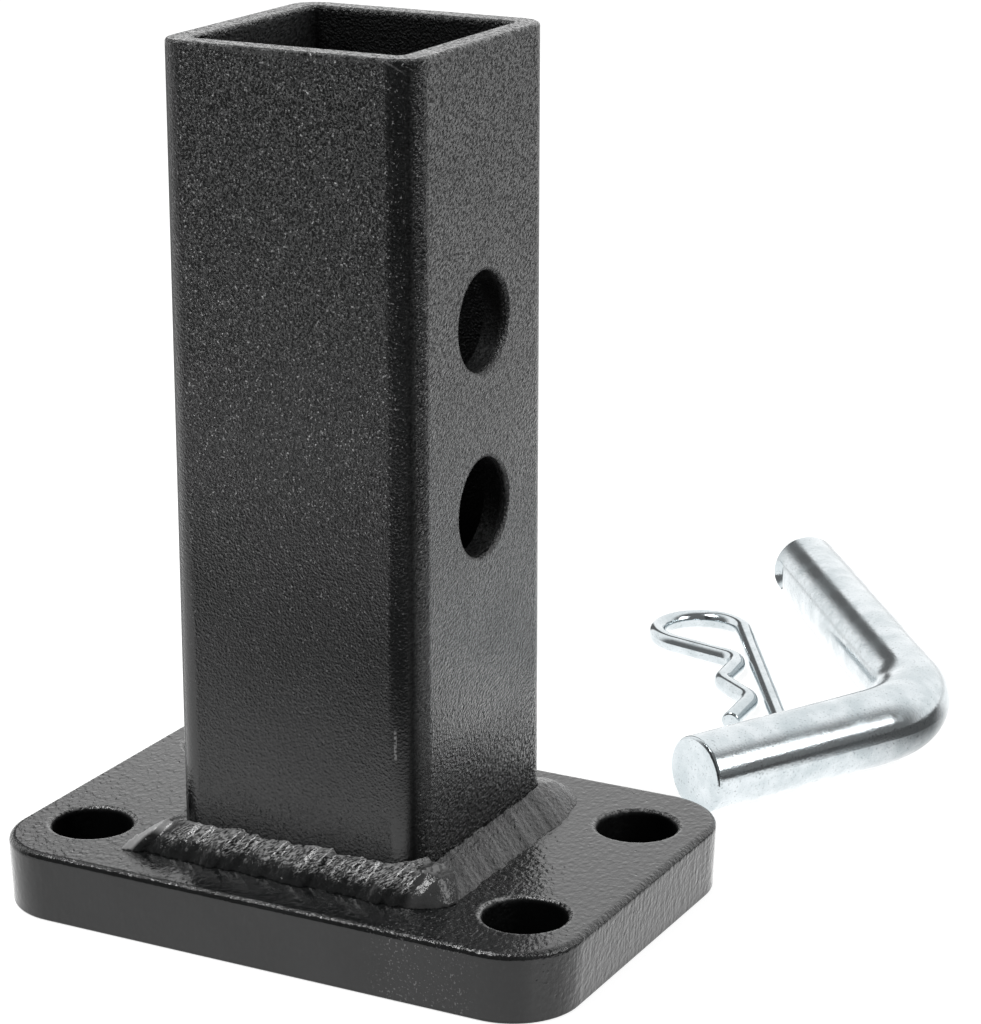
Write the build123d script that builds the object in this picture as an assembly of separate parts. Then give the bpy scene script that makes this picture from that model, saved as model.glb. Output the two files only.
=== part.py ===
from build123d import *
from math import cos, radians, sin, sqrt
import os

# Receiver hitch: a square receiver tube stands on a thick bolt-down plate and is welded
# to it all round. The bent hitch pin and its spring clip lie on the ground beside it,
# taken out of the tube, as they are supplied. All sizes are in millimetres.
# Frame: the origin is the middle of the plate's underside, +Z is up along the tube,
# X runs along the plate's long side and through the pin holes, and -Y is the front.

# Base plate, flame cut from thick flat bar
plate_thickness = 13.5
plate_corner_radius = 13.5
cut_edge_lean = 2.5
plate_top_rounding = 1.3
plate_bottom_rounding = 0.9

# Bolt holes, one near each corner of the plate, and how far in from its edges they are
bolt_pitch_x = 91.0
bolt_pitch_y = 46.0
bolt_inset_x = 13.25
bolt_inset_y = 17.5
bolt_hole_diameter = 15.0
bolt_hole_rounding = 1.1

# Receiver tube, a length of 2 inch square tube with a 3/16 inch wall
tube_width = 50.8
tube_wall = 4.76
tube_outer_radius = 5.5
tube_inner_radius = 1.2
tube_length = 149.0
tube_rim_rounding = 0.7

# Hitch pin, 5/8 inch round bar with a tapered tip and a bent handle
pin_diameter = 15.88
pin_straight_length = 104.0
pin_handle_length = 62.0
pin_bend_angle = 65.0
pin_bend_radius = 25.0
pin_taper_length = 6.0
pin_tip_diameter = 11.4
pin_end_rounding = 0.7

# Cross holes through both side walls of the tube, for the hitch pin
pin_hole_clearance = 2.12
pin_hole_from_rim = 49.5
pin_hole_pitch = 34.0
pin_hole_rounding = 0.8

# Spring clip, bent from round wire: one straight leg, one waved leg and a round eye
clip_wire_diameter = 4.0
clip_eye_radius = 10.0
clip_eye_wrap = 47.0
clip_straight_length = 65.0
clip_grip_gap = 0.8
clip_bulge_gap = 5.1
clip_first_grip = 19.8
clip_bulge_station = 33.0
clip_second_grip = 45.0
clip_waved_length = 57.5
clip_flare = 5.8
clip_bend_radius = 5.5
clip_end_rounding = 0.6

# Clip hole across the tip of the pin, with a small countersink at each end
clip_hole_clearance = 0.8
clip_hole_from_tip = 9.6
clip_hole_countersink = 0.9

# Fillet welds between the tube and the plate: legs along the plate and up the tube,
# the pitch and depth of the ripples, and how far each bead runs past its corner
front_leg_out = 5.6
front_leg_up = 5.8
front_crown = 0.6
side_leg_out = 7.2
side_leg_up = 4.8
left_leg_out = 8.0
left_leg_up = 4.0
side_crown = 0.2
weld_root = 4.0
front_ripple_pitch = 3.2
front_ripple_depth = 0.03
front_wander = 0.05
side_ripple_pitch = 2.0
side_ripple_depth = 0.008
side_wander = 0.02
ripple_slant = 0.3
ripple_crest = 0.7
fast_wander = 2.3
slow_wander = 1.1
side_run_out = 8.7
rear_run_out = 7.0
tip_length = 7.0
fading_tip_length = 16.0
blunt_tip = 0.25

# Where the loose pieces lie: the place of the pin's bend and of the clip's eye, and the
# turn of each about the vertical
pin_place_x = 67.5
pin_place_y = 119.0
pin_turn = 37.5
clip_place_x = -2.5
clip_place_y = 159.0
clip_turn = 31.0

# How near two places are that count as one and the same
same_place = 0.01

plate_length = bolt_pitch_x + 2 * bolt_inset_x
plate_depth = bolt_pitch_y + 2 * bolt_inset_y
tube_half = tube_width / 2
plate_top = plate_thickness
rim_height = plate_top + tube_length
pin_hole_diameter = pin_diameter + pin_hole_clearance
upper_pin_height = rim_height - pin_hole_from_rim
lower_pin_height = upper_pin_height - pin_hole_pitch
clip_hole_diameter = clip_wire_diameter + clip_hole_clearance
pin_radius = pin_diameter / 2
wire_radius = clip_wire_diameter / 2


def round_edges_at(solid, height, radius):
    """Round every edge of a solid that lies wholly in the plane at this height."""
    edges = [
        edge for edge in solid.edges()
        if abs(edge.bounding_box().min.Z - height) < same_place
        and abs(edge.bounding_box().max.Z - height) < same_place
    ]
    return fillet(edges, radius)


def base_plate():
    """Thick plate with rounded corners, leaning flame-cut edges and four bolt holes."""
    outline = RectangleRounded(plate_length, plate_depth, plate_corner_radius)
    blank = extrude(Plane.XY.offset(plate_top) * outline, -plate_thickness, taper=cut_edge_lean)
    hole = Cylinder(bolt_hole_diameter / 2, plate_thickness, align=(Align.CENTER, Align.CENTER, Align.MIN))
    for place in GridLocations(bolt_pitch_x, bolt_pitch_y, 2, 2):
        blank -= place * hole
    top_edges = [
        edge for edge in blank.edges()
        if edge.bounding_box().min.Z > plate_top - same_place and not is_bolt_rim(edge)
    ]
    blank = fillet(top_edges, plate_top_rounding)
    bottom_edges = [
        edge for edge in blank.edges()
        if edge.bounding_box().max.Z < same_place and not is_bolt_rim(edge)
    ]
    blank = fillet(bottom_edges, plate_bottom_rounding)
    return fillet([edge for edge in blank.edges() if is_bolt_rim(edge)], bolt_hole_rounding)


def is_bolt_rim(edge):
    """True for the circular rim of a bolt hole, at the top or bottom of the plate."""
    if edge.geom_type != GeomType.CIRCLE:
        return False
    box = edge.bounding_box()
    level = box.max.Z - box.min.Z < same_place
    return level and abs(edge.radius - bolt_hole_diameter / 2) < same_place


def tube_envelope():
    """The solid that the tube's outer skin encloses, used to seat the welds."""
    outline = RectangleRounded(tube_width, tube_width, tube_outer_radius)
    return extrude(Plane.XY.offset(plate_top) * outline, tube_length)


def receiver_tube():
    """Square tube with rounded corners and two pin holes through its side walls."""
    bore_width = tube_width - 2 * tube_wall
    bore = RectangleRounded(bore_width, bore_width, tube_inner_radius)
    tube = tube_envelope() - extrude(Plane.XY.offset(plate_top) * bore, tube_length)
    tube = round_edges_at(tube, rim_height, tube_rim_rounding)
    for height in (upper_pin_height, lower_pin_height):
        tube -= Location((0, 0, height), (0, 90, 0)) * Cylinder(pin_hole_diameter / 2, tube_width)
    rims = [
        edge for edge in tube.edges()
        if edge.geom_type == GeomType.CIRCLE
        and abs(edge.radius - pin_hole_diameter / 2) < same_place
        and abs(abs(edge.center().X) - tube_half) < same_place
    ]
    return fillet(rims, pin_hole_rounding)


def bead_section(station, leg_out, leg_up, crown, size, root):
    """One cross-section of a fillet bead, leaning back along the run as its ripples do."""
    out = leg_out * size
    up = leg_up * size
    swell = crown * size / sqrt(out ** 2 + up ** 2)

    def place(outward, height):
        return Vector(
            station + ripple_slant * (height - outward),
            -tube_half - outward,
            plate_top + height,
        )

    toe = place(out, 0)
    middle = place(out / 2 + swell * up, up / 2 + swell * out)
    top = place(0, up)
    shoulder = place(-root, up)
    heel = place(-root, 0)
    return Wire([
        Line(heel, toe).edge(),
        ThreePointArc(toe, middle, top).edge(),
        Line(top, shoulder).edge(),
        Line(shoulder, heel).edge(),
    ])


def fillet_bead(start, end, legs_and_crown, ripples, start_tip, end_tip):
    """A rippled bead along the front foot of the tube.

    Each end tapers to a rounded tip of the length given, or is left whole where that is 0.
    """
    leg_out, leg_up, crown = legs_and_crown
    pitch, depth, wander = ripples
    count = max(2, round((end - start) / pitch))
    step = (end - start) / count
    stations = []
    for ripple in range(count):
        stations.append((start + ripple * step, 1 - depth, ripple))
        stations.append((start + (ripple + ripple_crest) * step, 1 + depth, ripple))
    stations.append((end, 1 - depth, count))
    sections = []
    for station, swell, ripple in stations:
        unsteady = wander * (sin(fast_wander * ripple) + cos(slow_wander * ripple))
        shrink = min(tip_shrink(station - start, start_tip), tip_shrink(end - station, end_tip))
        size = (swell + unsteady) * shrink
        sections.append(bead_section(station, leg_out, leg_up * shrink, crown, size, weld_root * shrink))
    return Solid.make_loft(sections, ruled=True)


def tip_shrink(distance, length):
    """How much smaller a bead is at this distance from its end, where its tip has this length."""
    if distance >= length:
        return 1.0
    reach = 1 - distance / length
    return max(blunt_tip, sqrt(max(0.0, 1 - reach * reach)))


def welds():
    """The four beads in the order they were laid, each cut by the tube and by the others.

    The front and the left bead meet in a mitre that runs down from the tube's corner. The
    other beads run a little past their corners and end in rounded tips.
    """
    front_shape = (front_leg_out, front_leg_up, front_crown)
    front_ripples = (front_ripple_pitch, front_ripple_depth, front_wander)
    side_shape = (side_leg_out, side_leg_up, side_crown)
    left_shape = (left_leg_out, left_leg_up, side_crown)
    side_ripples = (side_ripple_pitch, side_ripple_depth, side_wander)
    behind_front = -tube_half - front_leg_out / 2
    behind_side = -tube_half - side_leg_out / 2
    past_mitre = tube_half + front_leg_out + ripple_slant * left_leg_out
    beads = {
        "weld_front": fillet_bead(
            -tube_half - left_leg_out, tube_half + side_leg_out, front_shape, front_ripples, 0, tip_length
        ),
        "weld_right": fillet_bead(
            behind_front, tube_half + side_run_out, side_shape, side_ripples, 0, fading_tip_length
        ),
        "weld_rear": fillet_bead(
            -tube_half, tube_half + rear_run_out, side_shape, side_ripples, fading_tip_length, tip_length
        ),
        "weld_left": fillet_bead(behind_side, past_mitre, left_shape, side_ripples, 0, 0),
    }
    mitre = Plane(
        origin=(-tube_half, -tube_half, plate_top),
        z_dir=(front_leg_out, -left_leg_out, 0),
    )
    mitre_sides = {"weld_front": Keep.TOP, "weld_left": Keep.BOTTOM}
    core = tube_envelope()
    laid = {}
    for index, (name, bead) in enumerate(beads.items()):
        piece = Rot(0, 0, 90 * index) * bead - core
        if name in mitre_sides:
            piece = split(piece, bisect_by=mitre, keep=mitre_sides[name])
        for earlier in laid.values():
            piece = piece - earlier
        laid[name] = max(piece.solids(), key=lambda solid: solid.volume)
    return laid


def hitch_pin():
    """Round bar bent to a handle, with a tapered tip and a hole across it for the clip."""
    turn = radians(pin_bend_angle)
    corner = Vector(0, 0, pin_radius)
    tip = Vector(0, pin_straight_length, pin_radius)
    handle_end = Vector(-pin_handle_length * sin(turn), -pin_handle_length * cos(turn), pin_radius)
    shaft_start = Vector(0, pin_straight_length - pin_taper_length, pin_radius)
    route = FilletPolyline(shaft_start, corner, handle_end, radius=pin_bend_radius)
    face_plane = Plane(shaft_start, x_dir=(1, 0, 0), z_dir=(0, -1, 0))
    bar = sweep(face_plane * Circle(pin_radius), path=route)
    taper = Location(shaft_start, (-90, 0, 0)) * Cone(
        pin_radius, pin_tip_diameter / 2, pin_taper_length,
        align=(Align.CENTER, Align.CENTER, Align.MIN),
    )
    pin = bar + taper
    hole_place = tip - Vector(0, clip_hole_from_tip, 0)
    hole_radius = clip_hole_diameter / 2
    pin -= Location(hole_place, (0, 90, 0)) * Cylinder(hole_radius, 2 * pin_diameter)
    rim_drop = pin_radius - sqrt(pin_radius ** 2 - (hole_radius + clip_hole_countersink) ** 2)
    sink_depth = clip_hole_countersink + rim_drop
    for side in (1, -1):
        sink = Cone(
            hole_radius, hole_radius + sink_depth, sink_depth,
            align=(Align.CENTER, Align.CENTER, Align.MIN),
        )
        seat = hole_place + Vector(side * (pin_radius - sink_depth), 0, 0)
        pin -= Location(seat, (0, 90 * side, 0)) * sink
    end_rims = [
        edge for edge in pin.edges()
        if edge.geom_type == GeomType.CIRCLE
        and min((edge.arc_center - handle_end).length, (edge.arc_center - tip).length) < same_place
    ]
    pin = fillet(end_rims, pin_end_rounding)
    return Pos(pin_place_x, pin_place_y, 0) * Rot(0, 0, pin_turn) * pin


def bend_corner(before, crest, after):
    """The sharp corner of a bend in the clip's wire that has its rounded crest at a place."""
    inward = ((before - crest).normalized() + (after - crest).normalized()).normalized()
    half_turn = radians((crest - before).get_angle(after - crest) / 2)
    return crest - inward * clip_bend_radius * (1 / cos(half_turn) - 1)


def pin_clip():
    """Spring clip of round wire, flat on the ground, its waved leg sprung to the straight one."""
    wrap = radians(clip_eye_wrap)
    grip = clip_eye_radius - clip_wire_diameter - clip_grip_gap
    bulge = clip_eye_radius - clip_wire_diameter - clip_bulge_gap
    eye_end = Vector(-clip_eye_radius * cos(wrap), -clip_eye_radius * sin(wrap))
    straight = Line((clip_eye_radius, -clip_straight_length), (clip_eye_radius, 0))
    eye = CenterArc((0, 0), clip_eye_radius, 0, 180 + clip_eye_wrap)
    first_reach = (clip_first_grip + eye_end.Y) / cos(wrap)
    first = eye_end + Vector(sin(wrap), -cos(wrap)) * first_reach
    bulge_crest = Vector(bulge, -clip_bulge_station)
    grip_crest = Vector(grip, -clip_second_grip)
    waved_end = Vector(grip - clip_flare, -clip_waved_length)
    waved = FilletPolyline(
        eye_end,
        first,
        bend_corner(first, bulge_crest, grip_crest),
        bend_corner(bulge_crest, grip_crest, waved_end),
        waved_end,
        radius=clip_bend_radius,
    )
    route = Wire([straight.edge(), eye.edge(), *waved.edges()])
    start = Plane((clip_eye_radius, -clip_straight_length, 0), x_dir=(1, 0, 0), z_dir=(0, 1, 0))
    wire = sweep(start * Circle(wire_radius), path=route)
    ends = [
        edge for edge in wire.edges()
        if edge.geom_type == GeomType.CIRCLE and abs(edge.radius - wire_radius) < same_place
        and min((edge.arc_center - route @ 0).length, (edge.arc_center - route @ 1).length) < same_place
    ]
    wire = fillet(ends, clip_end_rounding)
    return Pos(clip_place_x, clip_place_y, wire_radius) * Rot(0, 0, clip_turn) * wire


pieces = {
    "base_plate": base_plate(),
    "receiver_tube": receiver_tube(),
    "hitch_pin": hitch_pin(),
    "pin_clip": pin_clip(),
}
pieces.update(welds())

os.makedirs("parts", exist_ok=True)
for name, piece in pieces.items():
    export_step(piece, os.path.join("parts", name + ".step"))
    print(name, round(piece.volume), "mm3", piece.is_valid)
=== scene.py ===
# %% Load the frame
import math

import bpy
from mathutils import Matrix, Vector


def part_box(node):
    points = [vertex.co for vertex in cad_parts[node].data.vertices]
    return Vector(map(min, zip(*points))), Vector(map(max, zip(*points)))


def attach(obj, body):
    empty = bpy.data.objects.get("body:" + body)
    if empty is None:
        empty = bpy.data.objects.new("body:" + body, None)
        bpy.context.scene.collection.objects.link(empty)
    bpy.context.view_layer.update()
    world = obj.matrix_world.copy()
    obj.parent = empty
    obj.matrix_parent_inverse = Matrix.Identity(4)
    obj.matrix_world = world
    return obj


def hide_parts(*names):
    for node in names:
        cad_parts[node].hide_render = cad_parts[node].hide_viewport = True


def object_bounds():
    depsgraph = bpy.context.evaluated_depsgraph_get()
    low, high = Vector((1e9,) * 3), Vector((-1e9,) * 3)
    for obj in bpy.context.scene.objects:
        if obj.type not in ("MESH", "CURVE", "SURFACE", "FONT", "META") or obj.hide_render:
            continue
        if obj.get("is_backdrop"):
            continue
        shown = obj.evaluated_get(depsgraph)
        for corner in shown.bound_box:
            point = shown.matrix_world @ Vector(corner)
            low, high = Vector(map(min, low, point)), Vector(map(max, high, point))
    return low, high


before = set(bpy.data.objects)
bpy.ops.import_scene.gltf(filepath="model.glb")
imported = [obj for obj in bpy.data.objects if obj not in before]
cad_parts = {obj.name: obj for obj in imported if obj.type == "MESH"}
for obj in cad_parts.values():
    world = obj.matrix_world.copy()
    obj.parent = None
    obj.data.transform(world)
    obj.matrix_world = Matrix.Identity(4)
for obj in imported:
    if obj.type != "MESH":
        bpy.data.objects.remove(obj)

cad_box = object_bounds()
print("pieces in the frame:", sorted(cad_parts))
print("size of the whole part in metres:", [round(high - low, 4) for low, high in zip(*cad_box)])

# %% [markdown]
# ## Small helpers for modelling
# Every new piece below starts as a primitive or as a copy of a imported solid, and is then
# shaped with the same operators that are on Blender's menus. An operator acts on whatever
# is selected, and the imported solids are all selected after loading, so each step starts by
# deselecting everything. Sizes on this object are easier to read in millimetres, while
# Blender works in metres, so one factor turns one into the other.

# %% Units and selection
MM = 0.001


def select_only(piece):
    """Deselect everything, then select one piece and make it the active one."""
    bpy.ops.object.select_all(action="DESELECT")
    piece.select_set(True)
    bpy.context.view_layer.objects.active = piece


def finish_modifiers(piece):
    """Apply every modifier of a piece, from the first to the last."""
    select_only(piece)
    for modifier in list(piece.modifiers):
        bpy.ops.object.modifier_apply(modifier=modifier.name)


# %% [markdown]
# ## The camera
# The photograph was taken a little above the object and to its right, with a long lens, so
# that the tube's edges run almost parallel. The place, turn and lens below come from
# lining up the outline of a 50.8 mm square tube and its plate with the photograph. The
# sensor is fitted to the height of the picture, so the lens says how tall the view is.

# %% Camera at the photograph's viewing angle
camera_place_mm = (291.1, -503.5, 253.4)
camera_turn = 27.71
camera_tilt = -17.11
picture_height_px = 1024
focal_length_px = 3345.0
sensor_height_mm = 36.0
nearest_in_view = 10 * MM

lens_data = bpy.data.cameras.new("photo_lens")
lens_data.sensor_fit = "VERTICAL"
lens_data.sensor_height = sensor_height_mm
lens_data.lens = focal_length_px / picture_height_px * sensor_height_mm
lens_data.clip_start = nearest_in_view
camera = bpy.data.objects.new("photo_camera", lens_data)
bpy.context.scene.collection.objects.link(camera)
camera.location = [value * MM for value in camera_place_mm]
camera.rotation_euler = (math.radians(90 + camera_tilt), 0, math.radians(camera_turn))
bpy.context.scene.camera = camera
print("lens in mm:", round(lens_data.lens, 1))

# %% [markdown]
# ## Building materials from nodes
# A material is a graph: texture nodes read a place on the object and give a number, and the
# shader turns those numbers into a surface. The first helpers add a node, feed a socket with
# a plain value or with another node, and do one sum. Masks are numbers from 0 to 1 that say
# where something is, so most of the arithmetic is multiplying masks, which keeps what is in
# all of them, and taking the largest, which keeps what is in any of them.

# %% Helpers for nodes and arithmetic
def add_node(tree, kind, **settings):
    """Add one node, and set its inputs by name or its properties by attribute."""
    node = tree.nodes.new(kind)
    for name, value in settings.items():
        label = name.replace("_", " ")
        if label in node.inputs:
            node.inputs[label].default_value = value
        else:
            setattr(node, name, value)
    return node


def feed(tree, socket, value):
    """Give a socket a plain value, or join another node's output to it."""
    if isinstance(value, bpy.types.NodeSocket):
        tree.links.new(value, socket)
    else:
        socket.default_value = value


def math_node(tree, operation, *values):
    """Add one Math node. Each of its inputs is a number or another node's output."""
    node = add_node(tree, "ShaderNodeMath", operation=operation)
    for socket, value in zip(node.inputs, values):
        feed(tree, socket, value)
    return node.outputs[0]


def product(tree, first, *others):
    """Multiply masks or numbers: what is left is in all of them."""
    for other in others:
        first = math_node(tree, "MULTIPLY", first, other)
    return first


def largest(tree, first, *others):
    """Keep the largest of some masks: what is in any of them."""
    for other in others:
        first = math_node(tree, "MAXIMUM", first, other)
    return first


def outside(tree, mask):
    """Turn a mask round, so that it covers everything else."""
    return math_node(tree, "SUBTRACT", 1.0, mask)


def apart_from(tree, value, middle):
    """How far a value is from a middle, on either side of it."""
    return math_node(tree, "ABSOLUTE", math_node(tree, "SUBTRACT", value, middle))


# %% [markdown]
# ## Reading places on an object
# `Object` coordinates are used all through. They are in metres and stay fixed to the piece,
# so a grain has its true size on every piece. A Map Range node with smooth ends makes a
# mask that fades between two heights or two directions, and a noise texture breaks it up.

# %% Helpers for places, fades and noise
def object_place(tree):
    """The place on the object, in metres from its origin."""
    return add_node(tree, "ShaderNodeTexCoord").outputs["Object"]


def axes_of(tree, vector):
    """Split a place or a direction into its X, Y and Z."""
    node = add_node(tree, "ShaderNodeSeparateXYZ")
    feed(tree, node.inputs["Vector"], vector)
    return node.outputs


def ramp_node(tree, source, low, high, low_value=0.0, high_value=1.0):
    """Turn the stretch from low to high of a value smoothly into another stretch."""
    node = add_node(
        tree, "ShaderNodeMapRange", interpolation_type="SMOOTHSTEP", From_Min=low, From_Max=high,
        To_Min=low_value, To_Max=high_value,
    )
    feed(tree, node.inputs["Value"], source)
    return node.outputs["Result"]


def ramp_mm(tree, source, low_mm, high_mm, low_value=0.0, high_value=1.0):
    """The same for a length, with its two ends in millimetres."""
    return ramp_node(tree, source, low_mm * MM, high_mm * MM, low_value, high_value)


def noise_node(tree, place, grain_mm, detail=2.0, roughness=0.5, distortion=0.0):
    """Noise whose blotches are about this many millimetres across."""
    node = add_node(
        tree, "ShaderNodeTexNoise", Scale=1 / (grain_mm * MM), Detail=detail,
        Roughness=roughness, Distortion=distortion,
    )
    feed(tree, node.inputs["Vector"], place)
    return node.outputs["Fac"]


def stretched_place(tree, place, turn, stretch):
    """Turn and stretch a place, so that a texture on it becomes long streaks."""
    node = add_node(
        tree, "ShaderNodeMapping", vector_type="TEXTURE", Rotation=turn, Scale=stretch
    )
    feed(tree, node.inputs["Vector"], place)
    return node.outputs["Vector"]


def mix_colours(tree, share, first, second):
    """Blend two colours. The node is returned, so that its share can be fed later."""
    node = add_node(tree, "ShaderNodeMix", data_type="RGBA")
    for label, value in zip(("Factor", "A", "B"), (share, first, second)):
        feed(tree, node.inputs[label], value)
    return node


# %% [markdown]
# ## Node groups
# An effect that several materials share is a node group: a small graph with named inputs
# and outputs, built once and placed in each material with its own values. In this Blender
# the sockets of a group are made through its interface.

# %% Helpers for node groups
def new_group(name, inputs, outputs):
    """Make a shader node group with named number inputs and outputs."""
    group = bpy.data.node_groups.new(name, "ShaderNodeTree")
    for label, value in inputs.items():
        socket = group.interface.new_socket(
            label, in_out="INPUT", socket_type="NodeSocketFloat"
        )
        socket.default_value = value
    for label in outputs:
        group.interface.new_socket(label, in_out="OUTPUT", socket_type="NodeSocketFloat")
    inside = group.nodes.new("NodeGroupInput").outputs
    return group, inside, group.nodes.new("NodeGroupOutput").inputs


def use_group(tree, group, **values):
    """Place a node group in a material, set its inputs and give its outputs."""
    node = add_node(tree, "ShaderNodeGroup", node_tree=group)
    for name, value in values.items():
        node.inputs[name.replace("_", " ")].default_value = value
    return node.outputs


# %% [markdown]
# ## The powder coat's skin
# The receiver is sprayed with dry powder that melts in an oven. It never flows quite flat:
# it keeps a fine leathery skin of wrinkles about half a millimetre across, all leaning one
# way, with small pits. Here and there a grain stands up, and a painted glint stands for the
# light that it catches. One node group holds that skin, because the tube, the plate and the
# welds all wear it. It gives out a height for a Bump node and masks of the wrinkles' ridges,
# the painted glints and the patches where the coat is a little thicker.

# %% Node group for the leathery skin: the wrinkles
skin, skin_in, skin_out = new_group(
    "powder_skin",
    {"Grain": 0.55, "Pimples": 0.3, "Fleck Start": 0.62},
    ("Height", "Ridges", "Glints", "Patches"),
)
skin_turn = (math.radians(24), 0, math.radians(12))
skin_stretch = (1, 1.7, 1)
skin_place = stretched_place(skin, object_place(skin), skin_turn, skin_stretch)
grain_scale = math_node(skin, "DIVIDE", 1 / MM, skin_in["Grain"])

ridge_band = (0.42, 0.56)
wrinkle_node = add_node(
    skin, "ShaderNodeTexNoise", Detail=3.0, Roughness=0.55, Distortion=0.35
)
feed(skin, wrinkle_node.inputs["Vector"], skin_place)
feed(skin, wrinkle_node.inputs["Scale"], grain_scale)
wrinkles = wrinkle_node.outputs["Fac"]
feed(skin, skin_out["Ridges"], ramp_node(skin, wrinkles, *ridge_band))
print("wrinkles lean by", round(math.degrees(skin_turn[0])), "degrees on the side walls")

# %% [markdown]
# ### Pimples and pits
# Round pimples between the wrinkles, and shallow pits a couple of millimetres apart, come
# from Voronoi cells: the distance to the nearest cell's middle is a small round hill, and a
# narrow part of it turned over is a pit.

# %% The skin's pimples, pits and height
pimples_per_wrinkle = 0.8
pimple_radius = 0.6
pimple_node = add_node(skin, "ShaderNodeTexVoronoi")
feed(skin, pimple_node.inputs["Vector"], skin_place)
feed(skin, pimple_node.inputs["Scale"], product(skin, grain_scale, pimples_per_wrinkle))
pimples = ramp_node(skin, pimple_node.outputs["Distance"], 0.0, pimple_radius, 1.0, 0.0)
pimples = product(skin, pimples, skin_in["Pimples"])

pit_spacing_mm = 2.2
pit_radius = (0.02, 0.14)
pit_depth = -0.55
pit_node = add_node(skin, "ShaderNodeTexVoronoi", Scale=1 / (pit_spacing_mm * MM))
feed(skin, pit_node.inputs["Vector"], skin_place)
pits = ramp_node(skin, pit_node.outputs["Distance"], *pit_radius, 1.0, 0.0)
bumps = math_node(skin, "ADD", wrinkles, pimples)
feed(skin, skin_out["Height"], math_node(skin, "ADD", bumps, product(skin, pits, pit_depth)))
print("pits are about", pit_spacing_mm, "mm apart")

# %% [markdown]
# ### Painted glints and patches
# A painted glint shows only where a fine noise rises above a start value, so a higher start
# leaves fewer glints. The patches are the same noise at a much larger size.

# %% The skin's painted glints and patches
glint_size_mm = 0.42
glint_fade = 0.12
patch_size_mm, patch_band = 14.0, (0.3, 0.7)
glint_noise = noise_node(skin, skin_place, glint_size_mm, detail=1.0)
above_start = math_node(skin, "SUBTRACT", glint_noise, skin_in["Fleck Start"])
# Painted glints: a lighter colour where the fine noise is high, standing for caught light.
feed(skin, skin_out["Glints"], ramp_node(skin, above_start, 0.0, glint_fade))
patches = noise_node(skin, skin_place, patch_size_mm, detail=3.0)
feed(skin, skin_out["Patches"], ramp_node(skin, patches, *patch_band))
print("powder skin group has", len(skin.nodes), "nodes")

# %% [markdown]
# ## Black powder coat
# The coat itself is almost black. What looks grey on it is the white room mirrored in the
# clear top of the paint, strongly where the view skims the surface and faintly where it looks
# straight on. A low base colour and a low roughness give that by themselves. The numbers that
# are the same all over are set on the shader; the ones that change over the surface come from
# the skin group. A painted sheen on the wrinkles' ridges and the painted glints are lighter
# colours, and each piece says later how much of them shows where.

# %% A function that builds the coat
coat_dark = (0.0032, 0.0034, 0.0035, 1)
coat_light = (0.0062, 0.0065, 0.0067, 1)
# A lighter colour for the painted sheen on the wrinkles' ridges.
ridge_sheen_colour = (0.060, 0.062, 0.062, 1)


def powder_coat(name, grain, gloss, spread, glint_and_nick_tone=0.16, pimples=0.3, glint_start=0.62,
                shine=0.5):
    """A textured black coat. Returns the material and what a piece may steer in it."""
    material = bpy.data.materials.new(name)
    material.use_nodes = True
    tree = material.node_tree
    shader = tree.nodes["Principled BSDF"]
    shader.inputs["Specular IOR Level"].default_value = shine
    look = use_group(tree, skin, Grain=grain, Pimples=pimples, Fleck_Start=glint_start)

    glint_and_nick_colour = (glint_and_nick_tone, glint_and_nick_tone, glint_and_nick_tone, 1)
    tone = mix_colours(tree, look["Patches"], coat_dark, coat_light)
    # Painted sheen on the ridges, then painted glints and the other bright marks, go into the
    # colour.
    ridge_sheen_mix = mix_colours(tree, 0.0, tone.outputs["Result"], ridge_sheen_colour)
    glint_and_nick_mix = mix_colours(tree, 0.0, ridge_sheen_mix.outputs["Result"], glint_and_nick_colour)
    feed(tree, shader.inputs["Base Color"], glint_and_nick_mix.outputs["Result"])

    low_rough, high_rough = gloss - spread / 2, gloss + spread / 2
    rough = ramp_node(tree, look["Patches"], 0.0, 1.0, low_rough, high_rough)
    feed(tree, shader.inputs["Roughness"], rough)
    bump = add_node(tree, "ShaderNodeBump", Strength=1.0)
    feed(tree, bump.inputs["Height"], look["Height"])
    feed(tree, shader.inputs["Normal"], bump.outputs["Normal"])
    return material, {
        "tree": tree, "shader": shader, "rough": rough, "bump": bump.inputs,
        "ridges": look["Ridges"], "glints": look["Glints"],
        "ridge sheen share": ridge_sheen_mix.inputs["Factor"], "glint and nick share": glint_and_nick_mix.inputs["Factor"],
    }


# %% [markdown]
# ### Dull places
# Where the coat is thin or dusty it is matt and mirrors next to nothing. A dark base colour
# with more Metallic and more Roughness does that, because a black metal has no clear shine.

# %% A helper that dulls a coat
dull_metallic = 0.85
dull_roughness = 0.5


def dull_down(coat, mask):
    """Where the mask is 1, the coat is thin and matt and mirrors next to nothing."""
    tree = coat["tree"]
    inputs = coat["shader"].inputs
    feed(tree, inputs["Metallic"], product(tree, mask, dull_metallic))
    rough = largest(tree, coat["rough"], product(tree, mask, dull_roughness))
    feed(tree, inputs["Roughness"], rough)


def lay_bump(coat, height, depth_mm):
    """Lay a second, broader bump under the fine skin of a coat."""
    tree = coat["tree"]
    bump = add_node(tree, "ShaderNodeBump", Strength=1.0, Distance=depth_mm * MM)
    feed(tree, bump.inputs["Height"], height)
    feed(tree, coat["bump"]["Normal"], bump.outputs["Normal"])


# %% [markdown]
# ## The tube's coat
# The tube has the deepest and glossiest skin. It is calm on the lower part of the front
# wall and on the rounded corners, where the powder lay thin, and lively everywhere else.
# The direction that a face looks in tells the walls apart, and the height tells the rest.

# %% Coat for the tube, and where its skin is calm
tube_grain_mm = 0.44
tube_skin_depth_mm = 0.55
calm_zone_mm = (45, 105)
calm_front, calm_round = 0.22, 0.5
faces_front, faces_aslant = (-0.95, -0.6), (0.05, 0.15)

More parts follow.
